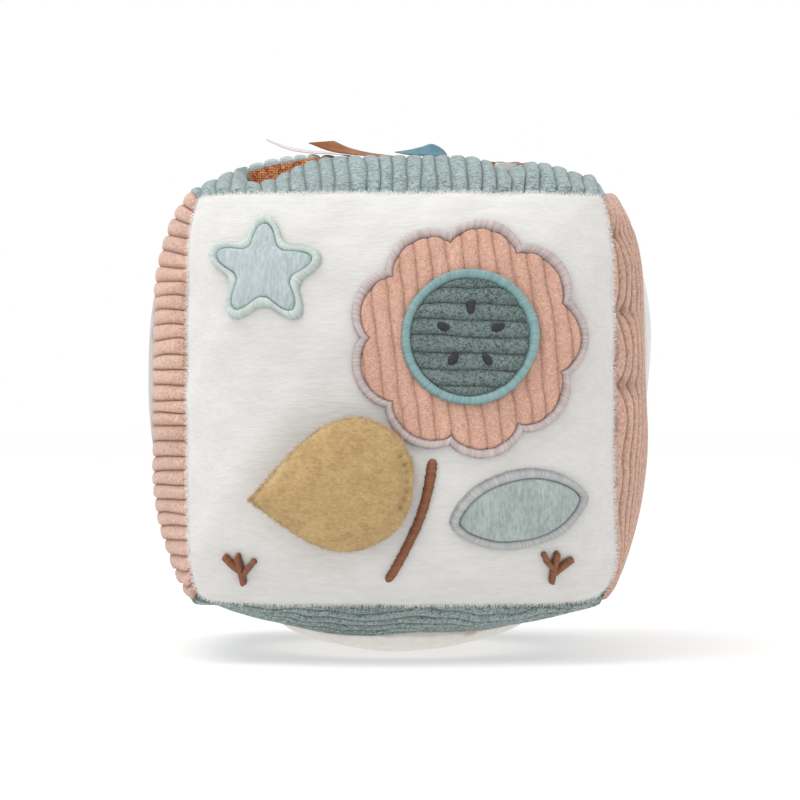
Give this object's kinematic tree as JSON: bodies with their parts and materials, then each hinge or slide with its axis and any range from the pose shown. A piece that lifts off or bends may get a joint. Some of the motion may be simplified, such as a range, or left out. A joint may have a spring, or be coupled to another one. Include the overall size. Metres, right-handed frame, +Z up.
{
  "type": "soft fabric activity block",
  "caption": "Stuffed fabric cube for a baby: a sewn daisy picture with a lifting leaf flap, a slit pocket with satin ribbons on top, and a rattle inside.",
  "frame": {"origin": "middle of the small flat under the bottom, on which the block stands", "axes": "+Z up, the sewn picture faces -Y, +X to the right as one looks at the picture"},
  "size_m": [0.179, 0.1831, 0.1849],
  "materials": {
    "white_plush": "short-pile white plush",
    "printed_cotton": "plain-woven cotton, off-white with a small soft print",
    "pink_corduroy": "wide-ribbed corduroy, dusty pink",
    "sage_corduroy": "wide-ribbed corduroy, grey sage",
    "rust_lining": "coarse woven lining, rust",
    "white_satin": "satin ribbon, white",
    "rust_satin": "satin ribbon, rust",
    "blue_satin": "satin ribbon, grey blue",
    "blue_plush": "short-pile plush, pale grey blue",
    "mustard_plush": "short-pile plush, mustard",
    "taupe_thread": "satin-stitched thread, taupe",
    "teal_thread": "satin-stitched thread, teal",
    "grey_thread": "satin-stitched thread, grey",
    "mint_thread": "satin-stitched thread, pale mint",
    "brown_thread": "satin-stitched thread, brown",
    "black_thread": "satin-stitched thread, black",
    "fibre_fill": "loose polyester fibre fill",
    "crackle_film": "thin crackling plastic film",
    "rattle_plastic": "moulded plastic, matt",
    "rattle_bead": "small plastic ball"
  },
  "bodies": {
    "block": {"front_panel": "white_plush", "back_panel": "printed_cotton", "left_panel": "pink_corduroy", "left_inset": "printed_cotton", "right_panel": "pink_corduroy", "right_inset": "printed_cotton", "bottom_panel": "sage_corduroy", "bottom_inset": "printed_cotton", "top_front_panel": "sage_corduroy", "top_back_panel": "sage_corduroy", "pocket_lining": "rust_lining", "front_fill": "fibre_fill", "back_fill": "fibre_fill", "rattle_front_shell": "rattle_plastic", "rattle_back_shell": "rattle_plastic", "petal_patch": "pink_corduroy", "petal_border": "taupe_thread", "daisy_middle_patch": "sage_corduroy", "daisy_middle_border": "teal_thread", "seed_stitch_1": "black_thread", "seed_stitch_2": "black_thread", "seed_stitch_3": "black_thread", "seed_stitch_4": "black_thread", "seed_stitch_5": "black_thread", "star_patch": "blue_plush", "star_border": "mint_thread", "leaf_patch": "blue_plush", "leaf_border": "grey_thread", "stem_stitch": "brown_thread", "sprig_stitch_left": "brown_thread", "sprig_stitch_right": "brown_thread", "flap_tack": "mustard_plush"},
    "leaf_flap": {"flap_front_cover": "mustard_plush", "flap_back_cover": "mustard_plush", "flap_film": "crackle_film", "flap_wadding": "fibre_fill"},
    "ribbon_white": {"ribbon_white": "white_satin"},
    "ribbon_rust": {"ribbon_rust": "rust_satin"},
    "ribbon_blue": {"ribbon_blue": "blue_satin"},
    "ribbon_tucked": {"ribbon_tucked": "white_satin"},
    "rattle_bead_1": {"rattle_bead_1": "rattle_bead"},
    "rattle_bead_2": {"rattle_bead_2": "rattle_bead"},
    "rattle_bead_3": {"rattle_bead_3": "rattle_bead"}
  },
  "joints": [
    {"name": "leaf_flap_hinge", "type": "hinge", "parent": "block", "child": "leaf_flap", "pos_m": [0.005, -0.0899, 0.06399], "axis": [0, 0, 1], "range_deg": [0, 150]},
    {"name": "ribbon_white_bend", "type": "hinge", "parent": "block", "child": "ribbon_white", "pos_m": [-0.014, -0.00413, 0.17853], "axis": [0, 1, 0], "range_deg": [0, 120]},
    {"name": "ribbon_rust_bend", "type": "hinge", "parent": "block", "child": "ribbon_rust", "pos_m": [0, -0.00404, 0.17859], "axis": [0, 1, 0], "range_deg": [0, 120]},
    {"name": "ribbon_blue_bend", "type": "hinge", "parent": "block", "child": "ribbon_blue", "pos_m": [0.015, -0.00466, 0.17851], "axis": [0, 1, 0], "range_deg": [0, 120]},
    {"name": "ribbon_tucked_pull", "type": "slide", "parent": "block", "child": "ribbon_tucked", "axis": [0, 0, 1], "range_m": [0, 0.026]},
    {"name": "rattle_bead_1_roll", "type": "hinge", "parent": "block", "child": "rattle_bead_1", "pos_m": [0, -0.008, 0.057], "axis": [0, 1, 0], "continuous": true},
    {"name": "rattle_bead_2_roll", "type": "hinge", "parent": "block", "child": "rattle_bead_2", "pos_m": [0, -0.008, 0.057], "axis": [0, 1, 0], "continuous": true},
    {"name": "rattle_bead_3_roll", "type": "hinge", "parent": "block", "child": "rattle_bead_3", "pos_m": [0, -0.008, 0.057], "axis": [0, 1, 0], "continuous": true}
  ]
}
